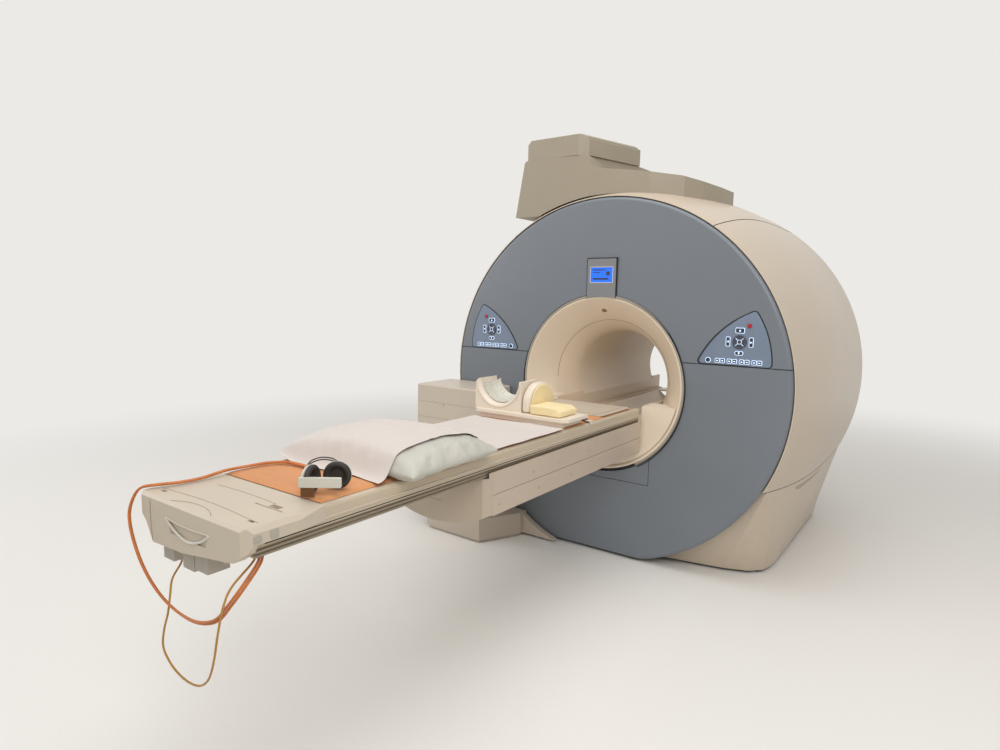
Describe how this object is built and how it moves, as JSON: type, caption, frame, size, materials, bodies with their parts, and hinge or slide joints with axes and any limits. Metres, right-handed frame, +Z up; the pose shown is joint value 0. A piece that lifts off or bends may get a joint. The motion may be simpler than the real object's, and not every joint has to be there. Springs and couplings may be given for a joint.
{
  "type": "mri scanner",
  "caption": "Whole-body magnetic resonance scanner: round covered magnet with a flared patient tunnel, control panels and a lifting patient table with head coil, pillow and sheet.",
  "frame": {"origin": "on the floor, straight under the middle of the patient tunnel", "axes": "+Y along the tunnel, from the table side into the magnet; +Z up; +X to the right as seen from the table side"},
  "size_m": [2.3446, 4.0951, 2.441],
  "materials": {
    "feet_steel": "black paint",
    "vessel_steel": "brushed",
    "winding": "varnished copper",
    "resin_dark": "cast resin",
    "resin_tan": "glass fibre and resin",
    "tunnel_cream": "smooth satin",
    "ring_grey": "satin",
    "laser_glass": "tinted window",
    "front_blue": "fine satin paint",
    "cover_cream": "satin paint",
    "turret_cream": "satin paint",
    "display_grey": "satin",
    "display_blue": "lit screen",
    "panel_blue": "touch foil",
    "stop_red": "glossy",
    "knob_dark": "satin",
    "tower_white": "fine textured paint",
    "guide_steel": "ground",
    "arm_steel": "painted",
    "carrier_cream": "satin paint",
    "carrier_side": "satin paint",
    "screw_cap": "satin",
    "table_cream": "satin gelcoat",
    "rail_dark": "ribbed",
    "cap_cream": "moulded satin",
    "socket_grey": "moulded",
    "mattress_orange": "coated fabric",
    "sheet_cloth": "cotton",
    "pillow_cloth": "cotton cover",
    "coil_cream": "satin",
    "cushion_yellow": "coated foam",
    "headphone_dark": "satin",
    "hose_orange": "smooth hose",
    "cable_yellow": "smooth sheath"
  },
  "bodies": {
    "scanner": {"magnet_feet": "feet_steel", "vacuum_vessel": "vessel_steel", "helium_vessel": "vessel_steel", "magnet_coils": "winding", "gradient_coil": "resin_dark", "body_coil": "resin_tan", "cold_head": "vessel_steel", "cover_frame": "feet_steel", "bore_tube": "tunnel_cream", "throat_ring": "tunnel_cream", "front_funnel": "tunnel_cream", "rear_funnel": "tunnel_cream", "bore_sill": "tunnel_cream", "bore_bed": "tunnel_cream", "ring_trim": "ring_grey", "laser_window": "laser_glass", "front_cover_upper": "front_blue", "front_cover_lower": "front_blue", "front_hatch": "front_blue", "top_cover": "cover_cream", "side_cover_right": "cover_cream", "side_cover_left": "cover_cream", "foot_cover_right": "cover_cream", "foot_cover_left": "cover_cream", "rear_cover": "cover_cream", "turret_cover": "turret_cream", "turret_cap": "turret_cream", "display_case": "display_grey", "display_screen": "display_blue", "control_panel_right": "panel_blue", "control_panel_left": "panel_blue", "tower_base": "tower_white", "tower_cover": "tower_white", "tower_top": "tower_white", "lift_guides": "guide_steel", "lift_motor": "resin_dark"},
    "lift": {"lift_arm": "arm_steel", "carrier_body": "carrier_cream", "carrier_side_upper": "carrier_side", "carrier_side_lower": "carrier_side", "carrier_nose": "carrier_cream", "carrier_screws": "screw_cap", "drive_unit": "resin_dark"},
    "table": {"tabletop": "table_cream", "side_rails": "rail_dark", "foot_cap": "cap_cream", "foot_sockets": "socket_grey", "mattress": "mattress_orange", "sheet": "sheet_cloth", "pillow": "pillow_cloth", "coil_plate": "coil_cream", "head_coil": "coil_cream", "head_cushion": "cushion_yellow", "headphones": "headphone_dark", "air_hoses": "hose_orange", "thin_cable": "cable_yellow"},
    "stop_button_right": {"stop_button_right": "stop_red"},
    "stop_button_left": {"stop_button_left": "stop_red"},
    "centre_knob_right": {"centre_knob_right": "knob_dark"},
    "centre_knob_left": {"centre_knob_left": "knob_dark"}
  },
  "joints": [
    {"name": "table_lift", "type": "slide", "parent": "scanner", "child": "lift", "axis": [0, 0, 1], "range_m": [-0.42, 0]},
    {"name": "tabletop_slide", "type": "slide", "parent": "lift", "child": "table", "axis": [0, 1, 0], "range_m": [0, 2], "deforming": ["pillow", "air_hoses", "thin_cable"]},
    {"name": "stop_press_right", "type": "slide", "parent": "scanner", "child": "stop_button_right", "axis": [0, 1, 0], "range_m": [0, 0.003], "stiffness_N_per_m": 1500, "springref_m": -0.001},
    {"name": "stop_press_left", "type": "slide", "parent": "scanner", "child": "stop_button_left", "axis": [0, 1, 0], "range_m": [0, 0.003], "stiffness_N_per_m": 1500, "springref_m": -0.001},
    {"name": "knob_press_right", "type": "slide", "parent": "scanner", "child": "centre_knob_right", "axis": [0, 1, 0], "range_m": [0, 0.002], "stiffness_N_per_m": 1500, "springref_m": -0.001},
    {"name": "knob_press_left", "type": "slide", "parent": "scanner", "child": "centre_knob_left", "axis": [0, 1, 0], "range_m": [0, 0.002], "stiffness_N_per_m": 1500, "springref_m": -0.001}
  ]
}
